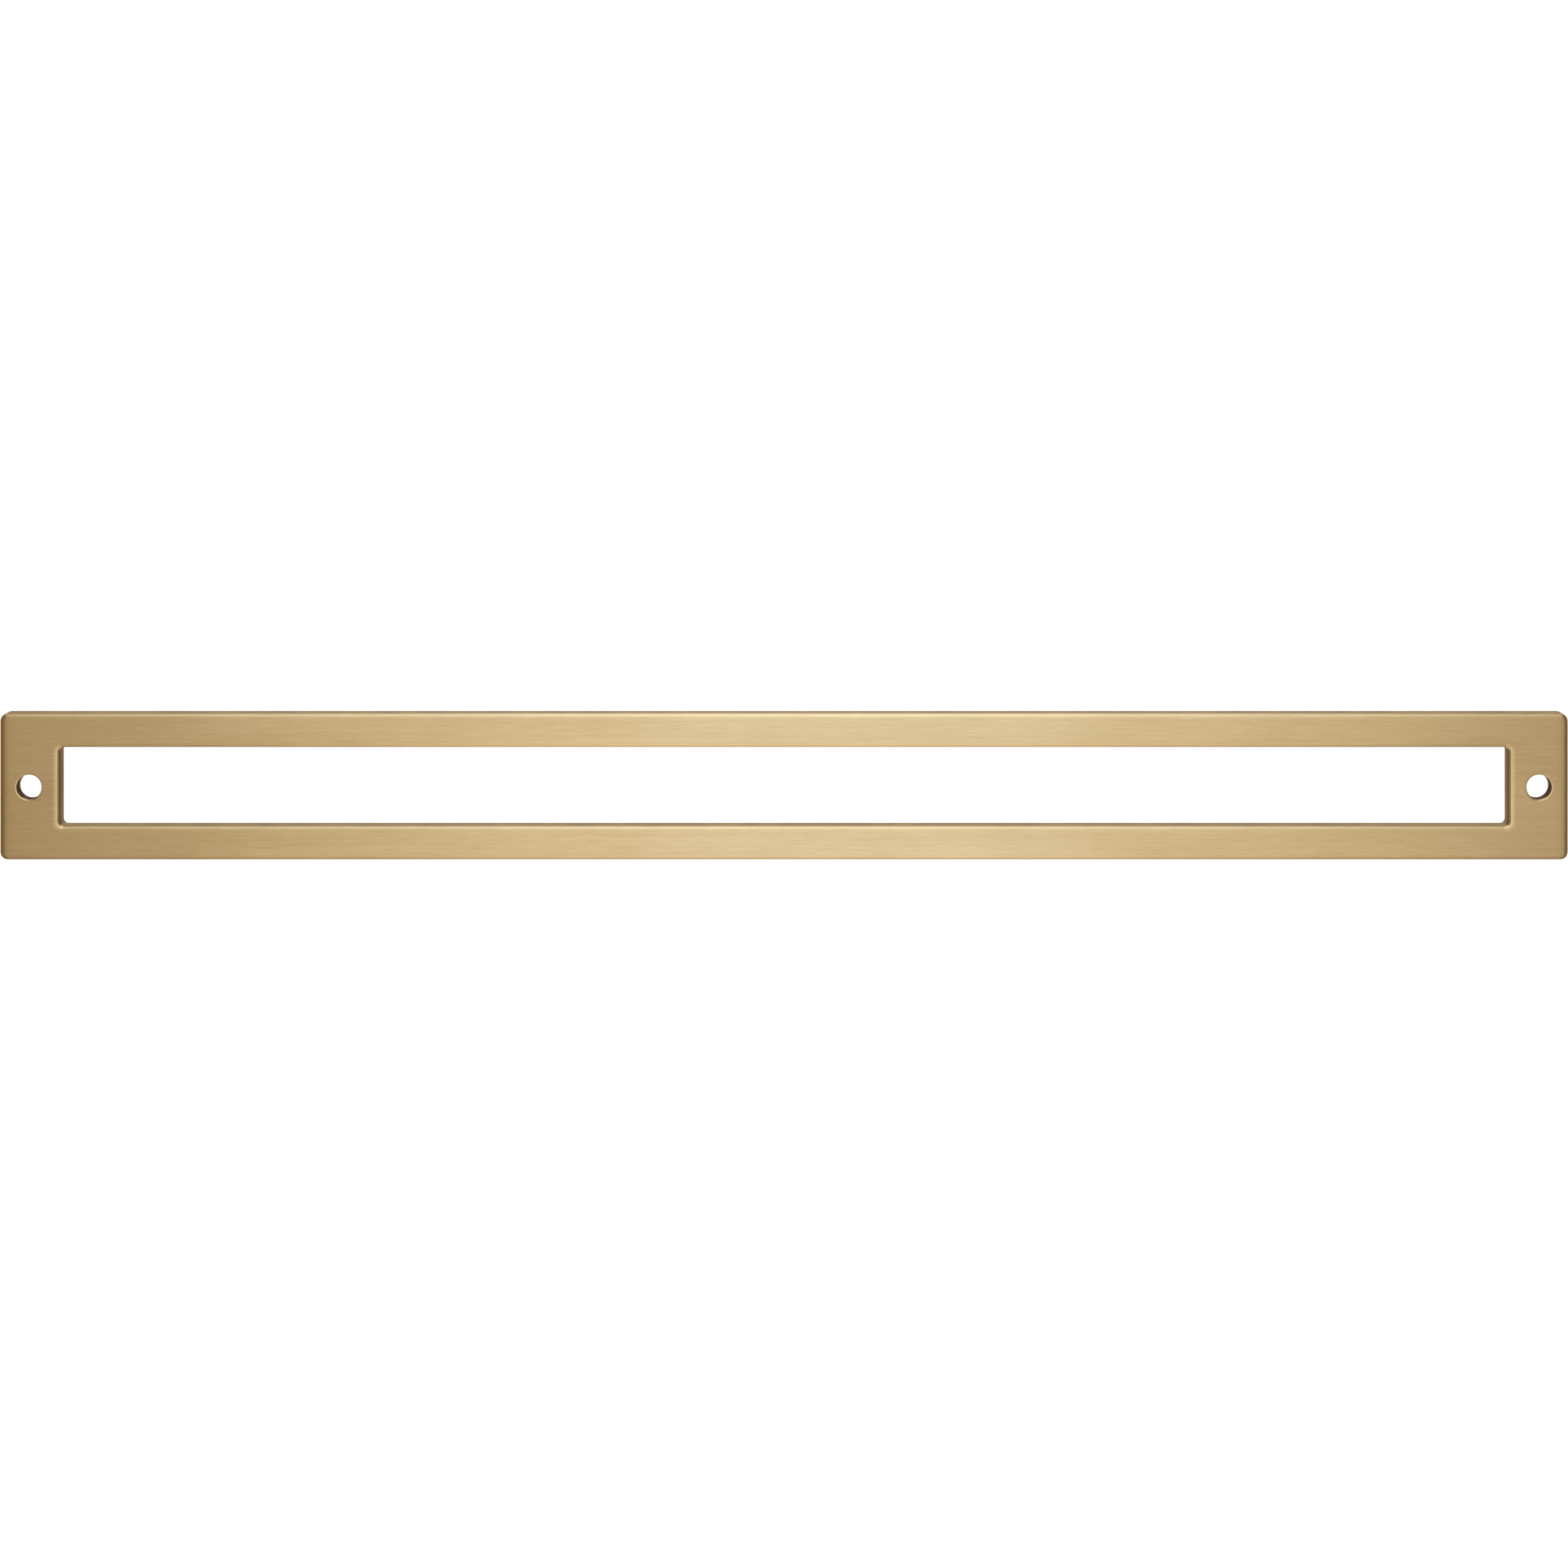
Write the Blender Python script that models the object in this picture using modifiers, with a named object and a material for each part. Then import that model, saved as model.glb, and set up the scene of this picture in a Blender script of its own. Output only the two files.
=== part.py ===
"""Open-frame backplate for a bar pull: one cast plate with a long window, a screw hole at each end and a cored back.

Metres, +Z up. The plate stands upright as on a door: X along it, its finished face towards -Y.
The origin is the middle of the back plane, the plane that lies on the door.
"""

import math

import bmesh
import bpy

MM = 0.001

# Overall plate
HOLE_SPACING = 304.8 * MM  # centre to centre, the 12 inch pull that the plate goes under
HOLE_TO_END = 6.1 * MM  # hole centre to the plate's end
HEIGHT = 29.5 * MM
THICKNESS = 3.2 * MM
OUTER_CORNER = 1.6 * MM

# Window and holes
RAIL_HEIGHT = 6.75 * MM  # upper and lower rail, outer edge to window
END_WIDTH = 12.0 * MM  # solid end, plate's end to window
WINDOW_CORNER = 1.0 * MM
HOLE_DIAMETER = 5.0 * MM

# Rounding of the front edges
OUTER_ROUND = 1.0 * MM
WINDOW_ROUND = 1.0 * MM
HOLE_ROUND = 0.3 * MM

# Cored back
WEB = 1.9 * MM  # thickness left behind the finished face
RIM = 1.3 * MM  # wall left along the outer edge and round the window
CORE_CORNER = 0.5 * MM  # smallest corner radius of the core

LENGTH = HOLE_SPACING + 2 * HOLE_TO_END
WINDOW_LENGTH = LENGTH - 2 * END_WIDTH
WINDOW_HEIGHT = HEIGHT - 2 * RAIL_HEIGHT

ROUND_STEPS = 4  # facets across a front rounding
CORNER_STEPS = 8  # facets round a quarter turn in plan
OVERRUN = 1.0 * MM  # how far the core's cutter stands out of the back
WELD = 0.001 * MM


def arc(centre_x, centre_y, radius, start, end):
    """Points from one angle to another, in quarter turns anticlockwise from +X."""
    steps = round(abs(end - start) * CORNER_STEPS)
    turns = [(start + (end - start) * step / steps) * math.pi / 2 for step in range(steps + 1)]
    return [(centre_x + radius * math.cos(turn), centre_y + radius * math.sin(turn)) for turn in turns]


def rounded_rectangle(length, height, radius):
    """Corner arcs of a rectangle about the origin, anticlockwise."""
    points = []
    for quarter, (side_x, side_y) in enumerate(((1, 1), (-1, 1), (-1, -1), (1, -1))):
        centre_x = side_x * (length / 2 - radius)
        centre_y = side_y * (height / 2 - radius)
        points += arc(centre_x, centre_y, radius, quarter, quarter + 1)
    return points


def quarter_of_the_frame():
    """The plate's upper right quarter in plan: round the outer corner, over the hole, round the window's corner."""
    outer = arc(LENGTH / 2 - OUTER_CORNER, HEIGHT / 2 - OUTER_CORNER, OUTER_CORNER, 1, 0)
    hole = arc(HOLE_SPACING / 2, 0, HOLE_DIAMETER / 2, 0, 2)
    window = arc(WINDOW_LENGTH / 2 - WINDOW_CORNER, WINDOW_HEIGHT / 2 - WINDOW_CORNER, WINDOW_CORNER, 0, 1)
    return [(0, HEIGHT / 2), *outer, (LENGTH / 2, 0), *hole, (WINDOW_LENGTH / 2, 0), *window, (0, WINDOW_HEIGHT / 2)]


def slab(name, outlines, front, back, collection):
    """A flat plate between two distances in front of the back plane, from closed outlines in plan."""
    flat = bpy.data.curves.new(name, "CURVE")
    flat.dimensions = "2D"
    flat.fill_mode = "BOTH"
    flat.extrude = (front - back) / 2
    for outline in outlines:
        spline = flat.splines.new("POLY")
        spline.points.add(len(outline) - 1)
        for point, (x, y) in zip(spline.points, outline):
            point.co = (x, y, 0, 1)
        spline.use_cyclic_u = True
    curve = bpy.data.objects.new(name + "_outline", flat)
    curve.rotation_euler.x = math.pi / 2
    curve.location.y = -(front + back) / 2
    collection.objects.link(curve)
    bpy.context.view_layer.update()

    evaluated = curve.evaluated_get(bpy.context.evaluated_depsgraph_get())
    mesh = bpy.data.meshes.new_from_object(evaluated)
    mesh.name = name
    plate = bpy.data.objects.new(name, mesh)
    collection.objects.link(plate)
    plate.matrix_world = curve.matrix_world
    bpy.data.objects.remove(curve)

    edit = bmesh.new()
    edit.from_mesh(mesh)
    bmesh.ops.remove_doubles(edit, verts=edit.verts, dist=WELD)
    bmesh.ops.recalc_face_normals(edit, faces=edit.faces)
    edit.to_mesh(mesh)
    edit.free()
    return plate


def front_rounding(x, y):
    """Rounding radius of the front edge that passes through a point in plan."""
    if x < WINDOW_LENGTH / 2 + WELD and y < WINDOW_HEIGHT / 2 + WELD:
        return WINDOW_ROUND
    if math.hypot(x - HOLE_SPACING / 2, y) < HOLE_DIAMETER / 2 + WELD:
        return HOLE_ROUND
    return OUTER_ROUND


def round_and_mirror(plate):
    """Opens the quarter where the others join it, rounds its front edges, and mirrors it both ways."""
    largest = max(OUTER_ROUND, WINDOW_ROUND, HOLE_ROUND)
    edit = bmesh.new()
    edit.from_mesh(plate.data)
    bmesh.ops.dissolve_limit(edit, angle_limit=math.radians(1), verts=edit.verts, edges=edit.edges)
    joints = [f for f in edit.faces if any(all(v.co[axis] < WELD for v in f.verts) for axis in (0, 1))]
    bmesh.ops.delete(edit, geom=joints, context="FACES")
    front = max(v.co.z for v in edit.verts)
    weight = edit.edges.layers.float.new("bevel_weight_edge")
    for edge in edit.edges:
        on_front = all(v.co.z > front - WELD for v in edge.verts)
        if on_front and not edge.is_boundary:
            middle = (edge.verts[0].co + edge.verts[1].co) / 2
            edge[weight] = front_rounding(middle.x, middle.y) / largest
    edit.to_mesh(plate.data)
    edit.free()
    bevel = plate.modifiers.new("front_rounding", "BEVEL")
    bevel.limit_method = "WEIGHT"
    bevel.width = largest
    bevel.segments = ROUND_STEPS
    bevel.use_clamp_overlap = False
    mirror = plate.modifiers.new("four_quarters", "MIRROR")
    mirror.use_axis = (True, True, False)
    mirror.merge_threshold = WELD


def core_the_back(plate, cutters):
    """Cut of the hollow behind the face: it follows the plate's outline and the window, a rim's width off both."""
    outside = rounded_rectangle(LENGTH - 2 * RIM, HEIGHT - 2 * RIM, max(OUTER_CORNER - RIM, CORE_CORNER))
    inside = rounded_rectangle(WINDOW_LENGTH + 2 * RIM, WINDOW_HEIGHT + 2 * RIM, WINDOW_CORNER + RIM)
    core = slab("core", (outside, inside), THICKNESS - WEB, -OVERRUN, cutters)
    core.hide_render = True
    core.display_type = "WIRE"
    cut = plate.modifiers.new("cored_back", "BOOLEAN")
    cut.operation = "DIFFERENCE"
    cut.solver = "EXACT"
    cut.object = core


def satin_brass():
    finish = bpy.data.materials.new("satin_brass")
    finish.use_nodes = True
    shader = finish.node_tree.nodes["Principled BSDF"]
    shader.inputs["Base Color"].default_value = (0.60, 0.45, 0.24, 1)
    shader.inputs["Metallic"].default_value = 1.0
    shader.inputs["Roughness"].default_value = 0.38
    return finish


for old in list(bpy.data.objects):
    bpy.data.objects.remove(old)
parts = bpy.data.collections.new("pull_backplate")
cutting = bpy.data.collections.new("cutters")
for group in (parts, cutting):
    bpy.context.scene.collection.children.link(group)

backplate = slab("backplate", [quarter_of_the_frame()], THICKNESS, 0, parts)
round_and_mirror(backplate)
core_the_back(backplate, cutting)
backplate.data.materials.append(satin_brass())
backplate.data.shade_smooth()
backplate.data.set_sharp_from_angle(angle=math.radians(40))
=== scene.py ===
"""Visual model of an open-frame backplate for a bar pull: one satin brass casting, seen from slightly above.

Metres, +Z up. The plate stands upright as on a door: X along it, its finished face towards -Y.
"""

import math

import bmesh
import bpy
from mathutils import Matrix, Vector


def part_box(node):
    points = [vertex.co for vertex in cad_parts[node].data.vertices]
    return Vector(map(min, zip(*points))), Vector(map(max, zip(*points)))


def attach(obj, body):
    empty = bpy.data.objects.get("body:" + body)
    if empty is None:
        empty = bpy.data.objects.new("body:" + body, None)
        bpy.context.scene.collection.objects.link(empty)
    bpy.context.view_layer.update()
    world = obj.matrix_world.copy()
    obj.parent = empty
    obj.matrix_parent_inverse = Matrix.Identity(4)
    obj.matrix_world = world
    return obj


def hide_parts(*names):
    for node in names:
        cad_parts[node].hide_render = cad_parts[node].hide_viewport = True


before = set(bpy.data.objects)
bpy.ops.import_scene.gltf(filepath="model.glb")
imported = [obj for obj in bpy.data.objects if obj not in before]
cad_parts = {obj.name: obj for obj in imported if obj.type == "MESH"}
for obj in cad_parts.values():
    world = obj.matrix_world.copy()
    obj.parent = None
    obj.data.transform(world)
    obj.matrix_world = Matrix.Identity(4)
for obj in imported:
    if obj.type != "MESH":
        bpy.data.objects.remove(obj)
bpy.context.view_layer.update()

MM = 0.001

# Camera: a view camera a third of a metre in front of the plate and a little above it. It looks straight
# along +Y and its lens is shifted down to the plate, so the long edges stay parallel.
CAMERA_DISTANCE = 364.0 * MM  # from the finished face
CAMERA_ABOVE = 105.5 * MM  # over the plate's middle
CAMERA_RIGHT = 5.74 * MM
SENSOR_WIDTH = 36.0  # in millimetres, as Blender counts both
FRAME_WIDTH = 316.4 * MM  # the width that the view takes in at the finished face
AIM_ABOVE = 0.69 * MM  # height of the view's middle, over the plate's

lens = bpy.data.cameras.new("camera")
lens.sensor_width = SENSOR_WIDTH
lens.lens = SENSOR_WIDTH * CAMERA_DISTANCE / FRAME_WIDTH
lens.shift_x = -CAMERA_RIGHT / FRAME_WIDTH
lens.shift_y = (AIM_ABOVE - CAMERA_ABOVE) / FRAME_WIDTH
lens.clip_start = 0.01
camera = bpy.data.objects.new("camera", lens)
face_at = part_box("backplate")[0][1]
camera.location = (CAMERA_RIGHT, face_at - CAMERA_DISTANCE, CAMERA_ABOVE)
camera.rotation_euler = (math.radians(90), 0, 0)
bpy.context.scene.collection.objects.link(camera)
bpy.context.scene.camera = camera

# The plate: a zinc alloy casting, hollow behind the face, plated in brass. The face is brushed along its
# length and its front edges are rounded over; the walls are left as cast. The pull's two screws clamp it.
low, high = (Vector(corner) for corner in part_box("backplate"))
LENGTH, THICKNESS, HEIGHT = high - low
CORNER = 1.6 * MM
END_WIDTH = 12.0 * MM  # solid end, plate's end to window
RAIL_HEIGHT = 6.75 * MM  # outer edge to window
HOLE_TO_END = 6.1 * MM  # hole centre to the plate's end
WINDOW_LENGTH = LENGTH - 2 * END_WIDTH
WINDOW_HEIGHT = HEIGHT - 2 * RAIL_HEIGHT
WINDOW_CORNER = 1.0 * MM
HOLE_SPACING = LENGTH - 2 * HOLE_TO_END
HOLE_DIAMETER = 5.0 * MM
WEB = 1.9 * MM  # metal left between the face and the hollow
RIM = 1.3 * MM  # wall left round the hollow, along the outline and the window
LAND = 0.55 * MM  # strip beside the outer and window edges where the belt leans over
LAND_DROP = 0.10 * MM
LAND_ROUNDING = 2.0 * MM  # where the land leaves the face
OUTER_ROUNDING = 0.8 * MM
WINDOW_ROUNDING = 0.6 * MM
HOLE_ROUNDING = 0.3 * MM
BACK_ROUNDING = 0.4 * MM  # the outline's and the window's back edges, where the flash was tumbled off
EDGE_BREAK = 0.15 * MM  # the core's edges
CORE_FILLET = 0.2 * MM  # where the hollow's walls meet its floor; RIM and this together stay under CORNER
FLOOR_STRIP = 0.02 * MM  # flat strip beside the core's fillet
BORE_MARGIN = 0.01 * MM  # how far off a hole's wall a face still counts as part of it
MARGIN = 0.2 * MM  # flat strip beside each rounding, which keeps the face's shading flat
CORNER_STEPS = 16  # facets in a quarter turn in plan
HOLE_STEPS = 72
ROUNDING_STEPS = 12
LAND_STEPS = 6
BREAK_STEPS = 3
WELD = 0.002 * MM
LIP_SPLIT = 0.5  # share of the rim's width at which the front edge's sweep meets the core's
LIP_MIDDLE = 0.75  # and the one half way from there to the core's wall


def add(tree, kind, inputs=(), **settings):
    """A new node with its settings, each named input set to a value or linked to another node's output."""
    new = tree.nodes.new(kind)
    for name, value in settings.items():
        setattr(new, name, value)
    for name, value in dict(inputs).items():
        if isinstance(value, bpy.types.NodeSocket):
            tree.links.new(value, new.inputs[name])
        else:
            new.inputs[name].default_value = value
    return new


def calculate(tree, operation, first, second=0.0, third=0.0):
    """The result of a Math node on sockets or numbers."""
    return add(tree, "ShaderNodeMath", {0: first, 1: second, 2: third}, operation=operation).outputs[0]


def by_index(tree, kind, values):
    """A field that gives the first point the first value, the second point the second, and so on."""
    pick = tree.nodes.new("GeometryNodeIndexSwitch")
    pick.data_type = kind
    while len(pick.index_switch_items) < len(values):
        pick.index_switch_items.new()
    index = add(tree, "GeometryNodeInputIndex").outputs[0]
    tree.links.new(index, pick.inputs["Index"])
    for place, value in enumerate(values, 1):
        if isinstance(value, bpy.types.NodeSocket):
            tree.links.new(value, pick.inputs[place])
        else:
            pick.inputs[place].default_value = value
    return pick.outputs[0]


def new_tree(name, inputs, outputs=("Geometry",)):
    """An empty Geometry Nodes tree with named inputs, as (name, type, value), and its two end nodes."""
    tree = bpy.data.node_groups.new(name, "GeometryNodeTree")
    for label, kind, value in inputs:
        socket = tree.interface.new_socket(name=label, in_out="INPUT", socket_type="NodeSocket" + kind)
        if value is not None:
            socket.default_value = value
    for label in outputs:
        tree.interface.new_socket(name=label, in_out="OUTPUT", socket_type="NodeSocketGeometry")
    return tree, tree.nodes.new("NodeGroupInput").outputs, tree.nodes.new("NodeGroupOutput").inputs


# One edge of the casting: level ground, a wall and level ground again, swept along an outline.
# Distances in are measured from the outline into the metal, heights from the back plane.
edge_tree, given, result = new_tree(
    "swept_edge",
    [
        ("Outline", "Geometry", None),
        ("Metal Side", "Float", 1.0),
        ("Start In", "Float", 0.0),
        ("Wall In", "Float", 0.0),
        ("End In", "Float", 0.0),
        ("Start Height", "Float", 0.0),
        ("End Height", "Float", 0.0),
        ("Land In", "Float", 0.0),
        ("Land Drop", "Float", 0.0),
        ("Land Rounding", "Float", 0.0),
        ("Start Rounding", "Float", 0.0),
        ("End Rounding", "Float", 0.0),
        ("Finish", "Material", None),
        ("Wall Finish", "Material", None),
    ],
)


def corner_point(distance_in, height):
    return add(
        edge_tree,
        "ShaderNodeCombineXYZ",
        {
            "X": calculate(edge_tree, "MULTIPLY", distance_in, given["Metal Side"]),
            "Y": calculate(edge_tree, "MULTIPLY", height, -1.0),
        },
    ).outputs[0]


rounding_start = calculate(edge_tree, "SUBTRACT", given["Start Height"], given["Land Drop"])
section_points = [
    corner_point(given["Start In"], given["Start Height"]),
    corner_point(given["Land In"], given["Start Height"]),
    corner_point(given["Wall In"], rounding_start),
    corner_point(given["Wall In"], given["End Height"]),
    corner_point(given["End In"], given["End Height"]),
]
section_places = by_index(edge_tree, "VECTOR", section_points)
corners = add(edge_tree, "GeometryNodePoints", {"Count": len(section_points), "Position": section_places})
section = add(edge_tree, "GeometryNodePointsToCurves", {"Points": corners.outputs[0]})
rounded = add(
    edge_tree,
    "GeometryNodeFilletCurve",
    {
        "Curve": section.outputs[0],
        "Count": by_index(edge_tree, "INT", [1, LAND_STEPS, ROUNDING_STEPS, BREAK_STEPS, 1]),
        "Radius": by_index(
            edge_tree,
            "FLOAT",
            [0.0, given["Land Rounding"], given["Start Rounding"], given["End Rounding"], 0.0],
        ),
    },
    mode="POLY",
)
level = add(edge_tree, "GeometryNodeSetCurveNormal", {"Curve": given["Outline"]}, mode="Z_UP")
swept = add(
    edge_tree,
    "GeometryNodeCurveToMesh",
    {"Curve": level.outputs[0], "Profile Curve": rounded.outputs[0], "Fill Caps": False},
)
finished = add(
    edge_tree,
    "GeometryNodeSetMaterial",
    {"Geometry": swept.outputs[0], "Material": given["Finish"]},
)
place = add(edge_tree, "ShaderNodeSeparateXYZ", {0: add(edge_tree, "GeometryNodeInputPosition").outputs[0]})
wall_top = calculate(edge_tree, "SUBTRACT", rounding_start, given["Start Rounding"])
on_the_wall = calculate(edge_tree, "LESS_THAN", place.outputs["Z"], wall_top)
walled = add(
    edge_tree,
    "GeometryNodeSetMaterial",
    {"Geometry": finished.outputs[0], "Selection": on_the_wall, "Material": given["Wall Finish"]},
)
edge_tree.links.new(walled.outputs[0], result[0])

# The whole casting in plan: outline, window and holes each get their edge. Flat fills close the face and
# the floor of the hollow.
sizes = [
    ("Length", LENGTH),
    ("Height", HEIGHT),
    ("Corner", CORNER),
    ("Window Length", WINDOW_LENGTH),
    ("Window Height", WINDOW_HEIGHT),
    ("Window Corner", WINDOW_CORNER),
    ("Hole Spacing", HOLE_SPACING),
    ("Hole Diameter", HOLE_DIAMETER),
    ("Thickness", THICKNESS),
    ("Web", WEB),
    ("Rim", RIM),
    ("Land", LAND),
    ("Land Drop", LAND_DROP),
    ("Land Rounding", LAND_ROUNDING),
    ("Outer Rounding", OUTER_ROUNDING),
    ("Window Rounding", WINDOW_ROUNDING),
    ("Hole Rounding", HOLE_ROUNDING),
    ("Back Rounding", BACK_ROUNDING),
    ("Edge Break", EDGE_BREAK),
    ("Core Fillet", CORE_FILLET),
    ("Margin", MARGIN),
]
finishes = ["Face Finish", "Wall Finish", "Back Finish", "Hole Painted Shade"]
plate_tree, given, result = new_tree(
    "cast_backplate",
    [(name, "Float", value) for name, value in sizes] + [(name, "Material", None) for name in finishes],
)
INWARDS, OUTWARDS = -1.0, 1.0


def rounded_outline(length, height, corner):
    sharp = add(plate_tree, "GeometryNodeCurvePrimitiveQuadrilateral", {"Width": length, "Height": height})
    rounded = add(
        plate_tree,
        "GeometryNodeFilletCurve",
        {"Curve": sharp.outputs[0], "Count": CORNER_STEPS, "Radius": corner},
        mode="POLY",
    )
    return rounded.outputs[0]


def edge(outline, **inputs):
    swept = add(plate_tree, "GeometryNodeGroup", node_tree=edge_tree)
    for name, value in {"Outline": outline, **inputs}.items():
        name = name.replace("_", " ")
        if isinstance(value, bpy.types.NodeSocket):
            plate_tree.links.new(value, swept.inputs[name])
        else:
            swept.inputs[name].default_value = value
    return swept.outputs[0]


outline = rounded_outline(given["Length"], given["Height"], given["Corner"])
window = rounded_outline(given["Window Length"], given["Window Height"], given["Window Corner"])
hole_radius = calculate(plate_tree, "MULTIPLY", given["Hole Diameter"], 0.5)
hole = add(
    plate_tree,
    "GeometryNodeCurvePrimitiveCircle",
    {"Resolution": HOLE_STEPS, "Radius": hole_radius},
)
half_spacing = calculate(plate_tree, "MULTIPLY", given["Hole Spacing"], 0.5)
holes = add(plate_tree, "GeometryNodeJoinGeometry")
for side in (-1.0, 1.0):
    hole_x = calculate(plate_tree, "MULTIPLY", half_spacing, side)
    centre = add(plate_tree, "ShaderNodeCombineXYZ", {"X": hole_x})
    moved = add(
        plate_tree,
        "GeometryNodeTransform",
        {"Geometry": hole.outputs["Curve"], "Translation": centre.outputs[0]},
    )
    plate_tree.links.new(moved.outputs[0], holes.inputs[0])

floor_height = calculate(plate_tree, "SUBTRACT", given["Thickness"], given["Web"])
lip = calculate(plate_tree, "MULTIPLY", given["Rim"], LIP_SPLIT)
floor_start = calculate(plate_tree, "ADD", given["Rim"], given["Core Fillet"])
floor_margin = calculate(plate_tree, "ADD", floor_start, FLOOR_STRIP)
lip_middle = calculate(plate_tree, "MULTIPLY", given["Rim"], LIP_MIDDLE)
half_rounding = calculate(plate_tree, "MULTIPLY", given["Outer Rounding"], 0.5)
land_in = calculate(plate_tree, "ADD", given["Land"], half_rounding)
face_start = calculate(plate_tree, "MULTIPLY_ADD", given["Margin"], 2.0, land_in)
edges = add(plate_tree, "GeometryNodeJoinGeometry")
for path, side, rounding in (
    (outline, INWARDS, given["Outer Rounding"]),
    (window, OUTWARDS, given["Window Rounding"]),
):
    front_edge = edge(
        path,
        Metal_Side=side,
        Start_In=face_start,
        Land_In=land_in,
        Wall_In=0.0,
        End_In=lip,
        Start_Height=given["Thickness"],
        End_Height=0.0,
        Land_Drop=given["Land Drop"],
        Land_Rounding=given["Land Rounding"],
        Start_Rounding=rounding,
        End_Rounding=given["Back Rounding"],
        Finish=given["Face Finish"],
        Wall_Finish=given["Wall Finish"],
    )
    core_edge = edge(
        path,
        Metal_Side=side,
        Start_In=lip,
        Land_In=lip_middle,
        Wall_In=given["Rim"],
        End_In=floor_margin,
        Start_Height=0.0,
        End_Height=floor_height,
        Start_Rounding=given["Edge Break"],
        End_Rounding=given["Core Fillet"],
        Finish=given["Wall Finish"],
        Wall_Finish=given["Back Finish"],
    )
    for swept in (front_edge, core_edge):
        plate_tree.links.new(swept, edges.inputs[0])
hole_edge = edge(
    holes.outputs[0],
    Metal_Side=OUTWARDS,
    Start_In=calculate(plate_tree, "ADD", given["Hole Rounding"], given["Margin"]),
    Land_In=given["Hole Rounding"],
    Wall_In=0.0,
    End_In=given["Margin"],
    Start_Height=given["Thickness"],
    End_Height=floor_height,
    Start_Rounding=given["Hole Rounding"],
    End_Rounding=calculate(plate_tree, "MULTIPLY", given["Edge Break"], 0.5),
    Finish=given["Face Finish"],
    Wall_Finish=given["Wall Finish"],
)
plate_tree.links.new(hole_edge, edges.inputs[0])

position = add(plate_tree, "GeometryNodeInputPosition").outputs[0]
height = add(plate_tree, "ShaderNodeSeparateXYZ", {0: position}).outputs["Z"]
half_web = calculate(plate_tree, "MULTIPLY", given["Web"], 0.5)
middle = calculate(plate_tree, "SUBTRACT", given["Thickness"], half_web)
faces_beside = add(plate_tree, "GeometryNodeInputMeshEdgeNeighbors").outputs[0]
open_edge = calculate(plate_tree, "LESS_THAN", faces_beside, 1.5)  # an edge with one face only
welded_edges = add(
    plate_tree,
    "GeometryNodeMergeByDistance",
    {"Geometry": edges.outputs[0], "Distance": WELD},
)
whole = add(plate_tree, "GeometryNodeJoinGeometry")
plate_tree.links.new(welded_edges.outputs[0], whole.inputs[0])
for comparison, level_height, finish in (
    ("GREATER_THAN", given["Thickness"], given["Face Finish"]),
    ("LESS_THAN", floor_height, given["Back Finish"]),
):
    here = calculate(plate_tree, "MULTIPLY", calculate(plate_tree, comparison, height, middle), open_edge)
    loops = add(plate_tree, "GeometryNodeMeshToCurve", {"Mesh": welded_edges.outputs[0], "Selection": here})
    fill = add(plate_tree, "GeometryNodeFillCurve", {"Curve": loops.outputs[0]}, mode="TRIANGLES")
    lift = add(plate_tree, "ShaderNodeCombineXYZ", {"Z": level_height})
    lifted = add(
        plate_tree,
        "GeometryNodeTransform",
        {"Geometry": fill.outputs[0], "Translation": lift.outputs[0]},
    )
    coated = add(plate_tree, "GeometryNodeSetMaterial", {"Geometry": lifted.outputs[0], "Material": finish})
    plate_tree.links.new(coated.outputs[0], whole.inputs[0])
welded = add(plate_tree, "GeometryNodeMergeByDistance", {"Geometry": whole.outputs[0], "Distance": WELD})
upright = add(
    plate_tree,
    "GeometryNodeTransform",
    {"Geometry": welded.outputs[0], "Rotation": (math.radians(90), 0, 0)},
)
smooth = add(plate_tree, "GeometryNodeSetShadeSmooth", {"Geometry": upright.outputs[0]})
real = add(plate_tree, "GeometryNodeRealizeInstances", {"Geometry": smooth.outputs[0]})
spot = add(plate_tree, "ShaderNodeSeparateXYZ", {0: add(plate_tree, "GeometryNodeInputPosition").outputs[0]})
from_middle = calculate(plate_tree, "ABSOLUTE", spot.outputs["X"])
from_hole = calculate(plate_tree, "SUBTRACT", from_middle, half_spacing)
height_squared = calculate(plate_tree, "MULTIPLY", spot.outputs["Z"], spot.outputs["Z"])
distance_squared = calculate(plate_tree, "MULTIPLY_ADD", from_hole, from_hole, height_squared)
from_axis = calculate(plate_tree, "SQRT", distance_squared)
bore_limit = calculate(plate_tree, "ADD", hole_radius, BORE_MARGIN)
in_hole = calculate(plate_tree, "LESS_THAN", from_axis, bore_limit)
# The holes' walls get a material painted near black brown: painted shade inside the bores.
bored = add(
    plate_tree,
    "GeometryNodeSetMaterial",
    {"Geometry": real.outputs[0], "Selection": in_hole, "Material": given["Hole Painted Shade"]},
)
plate_tree.links.new(bored.outputs[0], result[0])

brushed = bpy.data.materials.new("brushed_brass")
cast_wall = bpy.data.materials.new("cast_brass_wall")
cast_back = bpy.data.materials.new("cast_brass_back")
# The holes' walls: near black brown, a painted shade for the inside of the bores.
hole_painted_shade = bpy.data.materials.new("hole_wall_painted_shade")

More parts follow.
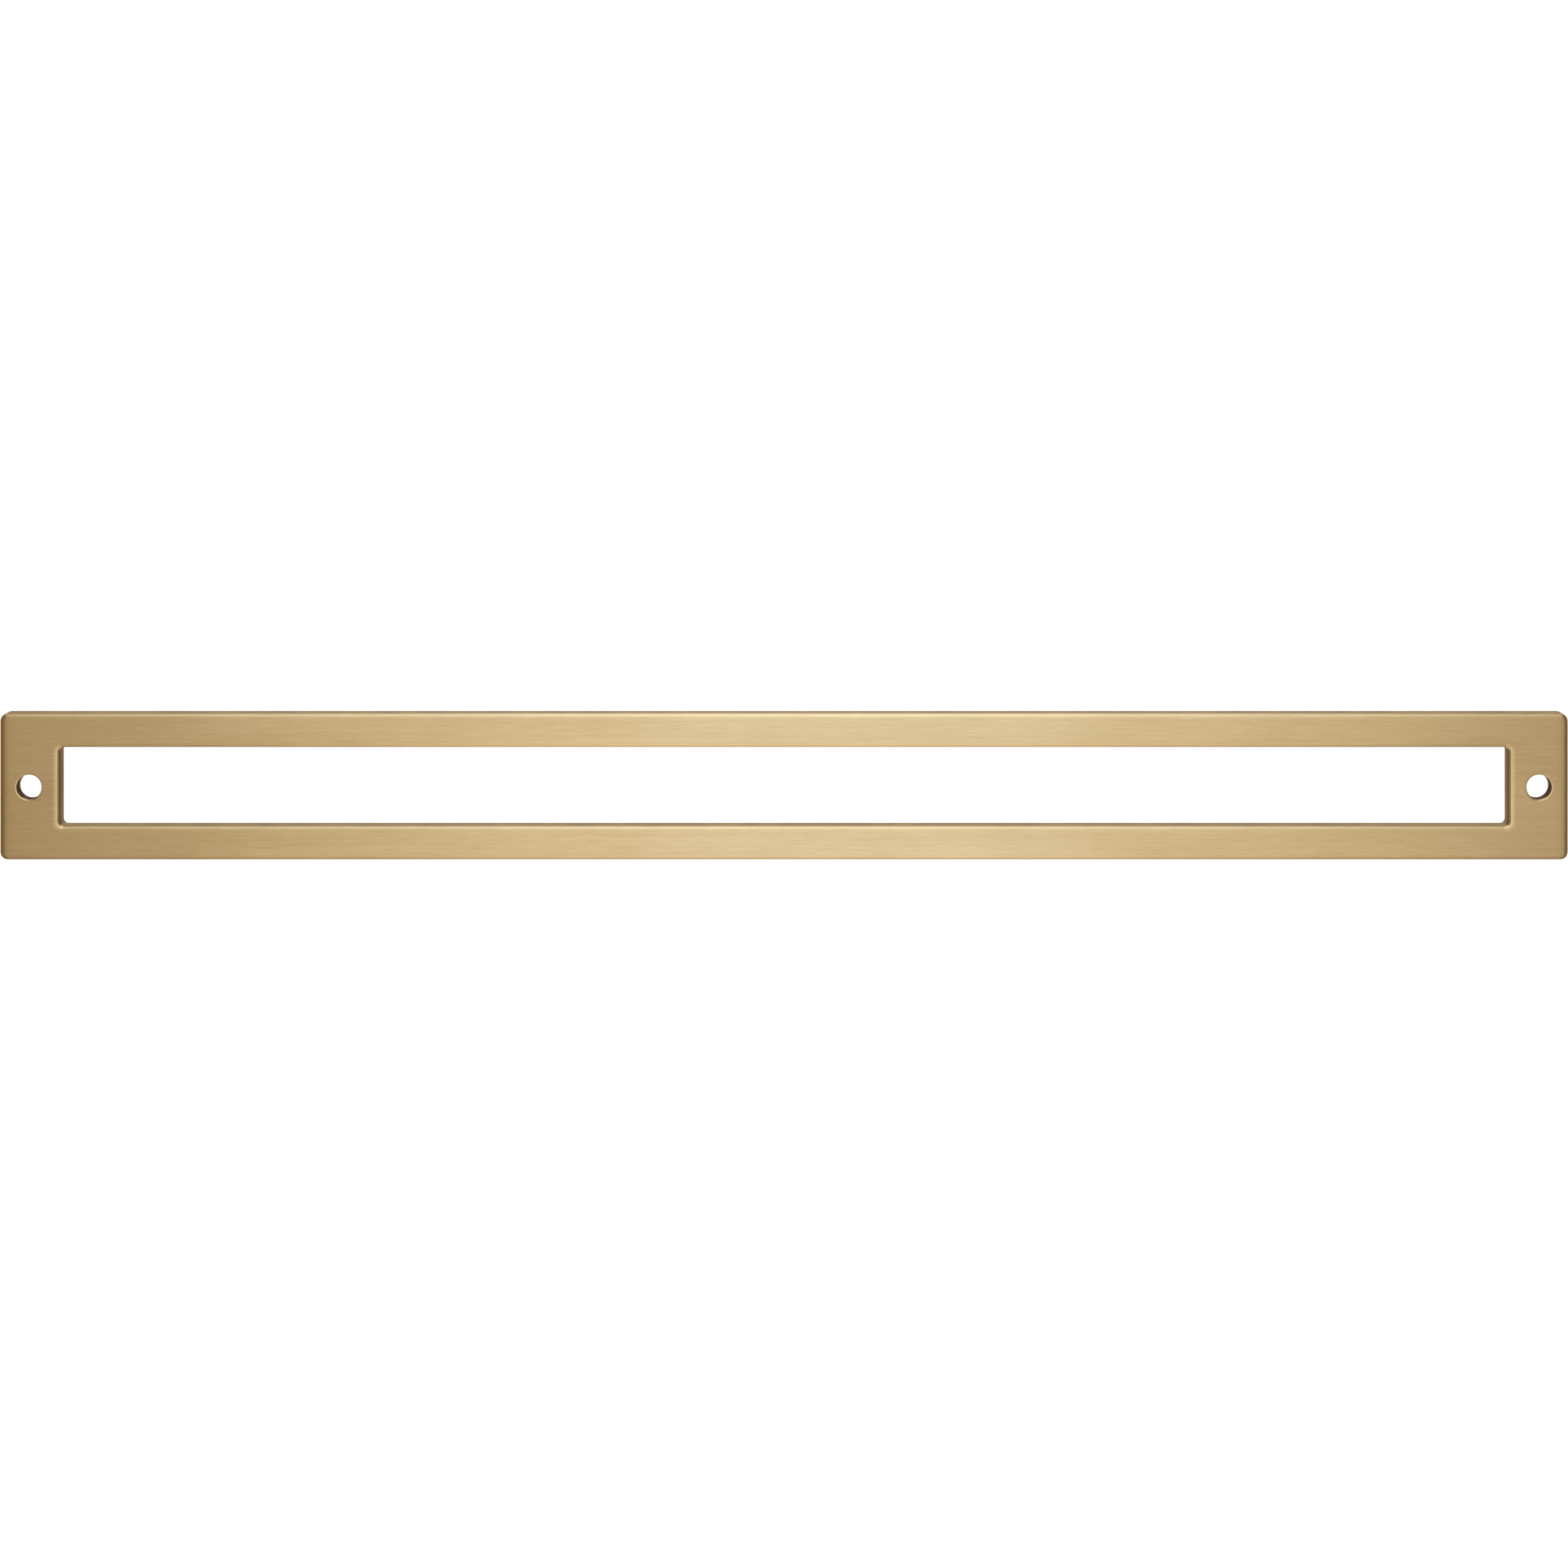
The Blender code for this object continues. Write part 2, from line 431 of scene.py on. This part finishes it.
seed_mesh = bpy.data.meshes.new("backplate_seed")
maker = bpy.data.objects.new("backplate_maker", seed_mesh)
bpy.context.scene.collection.objects.link(maker)
nodes_modifier = maker.modifiers.new("cast_backplate", "NODES")
nodes_modifier.node_group = plate_tree
sockets = {item.name: item.identifier for item in plate_tree.interface.items_tree if item.in_out == "INPUT"}
for name, value in [*sizes, *zip(finishes, (brushed, cast_wall, cast_back, hole_painted_shade))]:
    nodes_modifier[sockets[name]] = value
evaluated = maker.evaluated_get(bpy.context.evaluated_depsgraph_get())
mesh = bpy.data.meshes.new_from_object(evaluated)
mesh.name = "satin_backplate"
bpy.data.objects.remove(maker)
plate = bpy.data.objects.new("satin_backplate", mesh)
bpy.context.scene.collection.objects.link(plate)

# Brushing on a belt takes a little more off the two ends, where the belt runs on and off the plate.
# The loss is a cube of the way to the end, and fades out over the front half of the thickness.
ROLL_OFF_LENGTH = 2.6 * MM
ROLL_OFF_DEPTH = 0.28 * MM
ROLL_OFF_CUTS = 9
CUT_SPACING = 9.0 * MM  # short faces along the rails shade evenly
work = bmesh.new()
work.from_mesh(mesh)
cuts_each_way = int(WINDOW_LENGTH / 2 // CUT_SPACING)
cuts = [step * CUT_SPACING for step in range(-cuts_each_way, cuts_each_way + 1)]
for side in (-1, 1):
    for step in range(ROLL_OFF_CUTS):
        from_end = ROLL_OFF_LENGTH * (step + 0.5) / ROLL_OFF_CUTS
        cuts.append(side * (LENGTH / 2 - from_end))
for cut in cuts:
    everything = work.verts[:] + work.edges[:] + work.faces[:]
    bmesh.ops.bisect_plane(work, geom=everything, plane_co=(cut, 0, 0), plane_no=(1, 0, 0), dist=WELD)
front = -THICKNESS
for vertex in work.verts:
    run = (abs(vertex.co.x) - (LENGTH / 2 - ROLL_OFF_LENGTH)) / ROLL_OFF_LENGTH
    depth = (vertex.co.y - front) / THICKNESS
    if run > 0 and depth < 0.5:
        vertex.co.y += ROLL_OFF_DEPTH * run**3 * (1 - 2 * depth)
bmesh.ops.recalc_face_normals(work, faces=work.faces)
work.to_mesh(mesh)
work.free()

# The face's finish: plated in brass, brushed along the plate with a belt, and lacquered. The scratches stray
# a little, and slow bands and patches lie under them.


def noise(tree, along, across, detail, place):
    """Noise with features of one length along the plate and another across it."""
    scale = (1 / along, 1 / across, 1 / across)
    spread = add(tree, "ShaderNodeMapping", {"Vector": place, "Scale": scale})
    inputs = {"Vector": spread.outputs[0], "Scale": 1.0, "Detail": detail}
    return add(tree, "ShaderNodeTexNoise", inputs).outputs[0]


def between(tree, factor, low, high, start=0.3, end=0.7):
    """A value that goes from low to high as a noise goes from start to end."""
    inputs = {"Value": factor, "From Min": start, "From Max": end, "To Min": low, "To Max": high}
    return add(tree, "ShaderNodeMapRange", inputs).outputs[0]


def blend_of(tree, factor, first, second):
    """A colour between two others."""
    return add(tree, "ShaderNodeMix", {0: factor, 6: first, 7: second}, data_type="RGBA").outputs[2]


for material in (brushed, cast_wall, cast_back, hole_painted_shade):
    material.use_nodes = True

BRUSH_STREAK = (6.0 * MM, 0.11 * MM)  # length and thickness of a scratch
BRUSH_HAIR = (2.2 * MM, 0.05 * MM)
BRUSH_BAND = (60.0 * MM, 0.32 * MM)
BRUSH_CLOUD = (26.0 * MM, 7.0 * MM)  # slow patches in the plating
BRUSH_DEPTH = 0.004 * MM
BRUSH_WANDER = 0.5 * MM  # how far a scratch strays across the plate
WANDER_BEND = (28.0 * MM, 14.0 * MM)
BRASS_DARK = (0.640, 0.462, 0.220, 1)
BRASS_LIGHT = (0.820, 0.622, 0.346, 1)
TONE_RANGE = (0.38, 0.62)  # the grain's values between which the brass goes from dark to light
BRUSHED_ROUGHNESS = (0.35, 0.45)
tree = brushed.node_tree
shader = tree.nodes["Principled BSDF"]
place = add(tree, "ShaderNodeTexCoord").outputs["Object"]
wander = between(tree, noise(tree, *WANDER_BEND, 1.0, place), -BRUSH_WANDER, BRUSH_WANDER, 0.0, 1.0)
shifted = add(
    tree,
    "ShaderNodeVectorMath",
    {0: place, 1: add(tree, "ShaderNodeCombineXYZ", {"Z": wander}).outputs[0]},
    operation="ADD",
).outputs[0]
streak = noise(tree, *BRUSH_STREAK, 3.0, shifted)
hair = noise(tree, *BRUSH_HAIR, 2.0, shifted)
band = noise(tree, *BRUSH_BAND, 2.0, shifted)
cloud = noise(tree, *BRUSH_CLOUD, 3.0, place)
shade = calculate(tree, "MULTIPLY_ADD", cloud, 0.5, calculate(tree, "MULTIPLY", band, 0.5))
grain = calculate(tree, "MULTIPLY_ADD", hair, 0.4, calculate(tree, "MULTIPLY", streak, 0.6))
tone = calculate(tree, "MULTIPLY_ADD", shade, 0.35, calculate(tree, "MULTIPLY", grain, 0.65))
colour = blend_of(tree, between(tree, tone, 0.0, 1.0, *TONE_RANGE), BRASS_DARK, BRASS_LIGHT)
tree.links.new(colour, shader.inputs["Base Color"])
tree.links.new(between(tree, grain, *BRUSHED_ROUGHNESS), shader.inputs["Roughness"])
bump = add(tree, "ShaderNodeBump", {"Height": grain, "Distance": BRUSH_DEPTH, "Strength": 1.0})
tree.links.new(bump.outputs[0], shader.inputs["Normal"])
facing = add(tree, "ShaderNodeNewGeometry").outputs["Normal"]
across = add(tree, "ShaderNodeVectorMath", {0: facing, 1: (1, 0, 0)}, operation="CROSS_PRODUCT").outputs[0]
tree.links.new(across, shader.inputs["Tangent"])
shader.inputs["Metallic"].default_value = 1.0
shader.inputs["Anisotropic"].default_value = 0.7
shader.inputs["Coat Weight"].default_value = 1.0
shader.inputs["Coat Roughness"].default_value = 0.14
shader.inputs["Coat IOR"].default_value = 1.5

# The cast finishes: the outer and window walls, and the back. The screw holes' walls are painted near black
# brown, a painted shade for the inside of the bores. On the walls that face along the plate, a band just
# behind the rounded edge is painted dark, a painted shade for the dark reflection there.
CAST_GRAIN = 0.35 * MM
CAST_STAIN = 6.0 * MM
CAST_DEPTH = 0.02 * MM
# Painted shade: a dark band on the walls that face along the plate, between these depths behind the face, in
# this colour.
SHADE_BAND_START = 0.95 * MM  # behind the face
SHADE_BAND_END = 1.7 * MM
PAINTED_SHADE_COLOUR = (0.15, 0.10, 0.05, 1)
SHADE_BAND_FACING = (0.25, 0.9)  # how squarely a wall faces along the plate where the painted shade starts and is full
for material, dark, light, smoothest, roughest in (
    (cast_wall, (0.40, 0.270, 0.135, 1), (0.62, 0.440, 0.235, 1), 0.40, 0.58),
    (cast_back, (0.44, 0.345, 0.205, 1), (0.56, 0.455, 0.285, 1), 0.48, 0.62),
    # Painted shade: the bores' walls in near black brown.
    (hole_painted_shade, (0.10, 0.036, 0.013, 1), (0.18, 0.075, 0.030, 1), 0.42, 0.60),
):
    tree = material.node_tree
    shader = tree.nodes["Principled BSDF"]
    place = add(tree, "ShaderNodeTexCoord").outputs["Object"]
    skin = noise(tree, CAST_GRAIN, CAST_GRAIN, 4.0, place)
    stain = noise(tree, CAST_STAIN, CAST_STAIN, 3.0, place)
    mottle = calculate(tree, "MULTIPLY_ADD", stain, 0.6, calculate(tree, "MULTIPLY", skin, 0.4))
    colour = blend_of(tree, between(tree, mottle, 0.0, 1.0), dark, light)
    # Painted shade: darkens the walls that face along the plate just behind the rounded edge, standing in
    # for a dark reflection.
    if material == cast_wall:
        from_back = add(tree, "ShaderNodeSeparateXYZ", {0: place}).outputs["Y"]
        behind_face = calculate(tree, "ADD", from_back, THICKNESS)
        painted_shade_band = between(tree, behind_face, 1.0, 0.0, SHADE_BAND_START, SHADE_BAND_END)
        normal = add(tree, "ShaderNodeNewGeometry").outputs["Normal"]
        facing = add(tree, "ShaderNodeSeparateXYZ", {0: normal})
        along_plate = calculate(tree, "ABSOLUTE", facing.outputs["X"])
        on_ends = between(tree, along_plate, 0.0, 1.0, *SHADE_BAND_FACING)
        colour = blend_of(tree, calculate(tree, "MULTIPLY", painted_shade_band, on_ends), colour, PAINTED_SHADE_COLOUR)
    tree.links.new(colour, shader.inputs["Base Color"])
    tree.links.new(between(tree, skin, smoothest, roughest), shader.inputs["Roughness"])
    bump = add(tree, "ShaderNodeBump", {"Height": skin, "Distance": CAST_DEPTH, "Strength": 0.8})
    tree.links.new(bump.outputs[0], shader.inputs["Normal"])
    shader.inputs["Metallic"].default_value = 1.0

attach(plate, "root")
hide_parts("backplate")

# The stage: a white room with a plain pale floor well below the plate. The plate mirrors a dimmer room than
# the one seen round it, brighter overhead, behind and below, and five softboxes above and in front.
FLOOR_BELOW = 0.25
FLOOR_SIZE = 8.0
FLOOR_COLOUR = (0.9, 0.9, 0.9, 1)
floor_mesh = bpy.data.meshes.new("floor")
half = FLOOR_SIZE / 2
level = low.z - FLOOR_BELOW
floor_corners = [(x * half, y * half, level) for x, y in ((-1, -1), (1, -1), (1, 1), (-1, 1))]
floor_mesh.from_pydata(floor_corners, [], [(0, 1, 2, 3)])
floor = bpy.data.objects.new("floor", floor_mesh)
bpy.context.scene.collection.objects.link(floor)
pale = bpy.data.materials.new("pale_floor")
pale.use_nodes = True
paint = pale.node_tree.nodes["Principled BSDF"]
paint.inputs["Base Color"].default_value = FLOOR_COLOUR
paint.inputs["Roughness"].default_value = 1.0
floor_mesh.materials.append(pale)
floor.visible_glossy = False

bpy.context.scene.view_settings.view_transform = "Standard"

SEEN_WHITE = (1.3, 1.3, 1.3, 1)  # the room as seen and as it lights matt things
ROOM_SHINE = (0.23, 0.17, 0.10)  # the room as the metal mirrors it
SHINE_BEHIND = (0.26, 0.27, 0.25)  # and what is added to it on three sides
SHINE_UNDERNEATH = (0.57, 0.45, 0.33)
SHINE_ABOVE = (0.76, 0.93, 1.12)
world = bpy.data.worlds.new("studio")
bpy.context.scene.world = world
world.use_nodes = True
tree = world.node_tree
tree.nodes.clear()
direction = add(tree, "ShaderNodeSeparateXYZ", {0: add(tree, "ShaderNodeTexCoord").outputs["Generated"]})
sideways = calculate(tree, "ABSOLUTE", direction.outputs["X"])


def over(value, start, end, low, high):
    """A soft step of a direction's component."""
    inputs = {"Value": value, "From Min": start, "From Max": end, "To Min": low, "To Max": high}
    return add(tree, "ShaderNodeMapRange", inputs, interpolation_type="SMOOTHSTEP").outputs[0]


middle = over(sideways, 0.05, 0.45, 1.0, 0.0)
behind = over(direction.outputs["Y"], 0.3, 0.9, 0.0, 1.0)
above = calculate(tree, "MULTIPLY", over(direction.outputs["Z"], 0.1, 0.8, 0.0, 1.0), middle)
downwards = calculate(tree, "MULTIPLY", direction.outputs["Z"], -1.0)
underneath = calculate(tree, "MULTIPLY", over(downwards, 0.3, 0.9, 0.0, 1.0), middle)
room = ROOM_SHINE
for amount, light in ((behind, SHINE_BEHIND), (underneath, SHINE_UNDERNEATH), (above, SHINE_ABOVE)):
    shine = add(tree, "ShaderNodeVectorMath", {0: light, "Scale": amount}, operation="SCALE").outputs[0]
    room = add(tree, "ShaderNodeVectorMath", {0: room, 1: shine}, operation="ADD").outputs[0]
path = add(tree, "ShaderNodeLightPath")
white = calculate(tree, "MAXIMUM", path.outputs["Is Camera Ray"], path.outputs["Is Diffuse Ray"])
mixed = blend_of(tree, white, room, SEEN_WHITE)
backdrop = add(tree, "ShaderNodeBackground", {"Color": mixed, "Strength": 1.0})
add(tree, "ShaderNodeOutputWorld", {0: backdrop.outputs[0]})


def softbox(name, width, height, place, aim, radiance, colour=(1, 1, 1)):
    """A rectangular lamp at a place, turned to a point, of one brightness whatever its size."""
    lamp = bpy.data.lights.new(name, "AREA")
    lamp.shape = "RECTANGLE"
    lamp.size = width
    lamp.size_y = height
    lamp.energy = radiance * math.pi * width * height
    lamp.color = colour
    box = bpy.data.objects.new(name, lamp)
    box.location = place
    box.rotation_euler = (Vector(aim) - Vector(place)).to_track_quat("-Z", "Y").to_euler()
    box.visible_camera = False
    bpy.context.scene.collection.objects.link(box)


softbox("overhead_softbox", 1.7, 0.14, (0, -0.22, 0.8), (0, 0, 0), 2.8)

# The front light is strongest in the middle, so it is built of ever narrower layers. They stand one behind
# another, because lamps in one plane would hide each other.
FRONT_HEIGHT = 0.5
FRONT_DISTANCE = 0.2
FRONT_LAYER_GAP = 0.004
FRONT_RIGHT = 0.02
FRONT_BELOW = 0.02
front_layers = (  # width, radiance, colour
    (0.60, 0.32, (1.00, 1.02, 0.97)),
    (0.40, 0.23, (0.90, 1.08, 1.04)),
    (0.26, 0.12, (0.75, 0.93, 1.42)),
    (0.14, 0.17, (0.68, 0.94, 1.38)),
)
for layer, (width, radiance, colour) in enumerate(front_layers):
    place = (FRONT_RIGHT, -FRONT_DISTANCE - FRONT_LAYER_GAP * layer, -FRONT_BELOW)
    aim = (FRONT_RIGHT, 0, -FRONT_BELOW)
    softbox(f"front_softbox_{layer}", width, FRONT_HEIGHT, place, aim, radiance, colour)
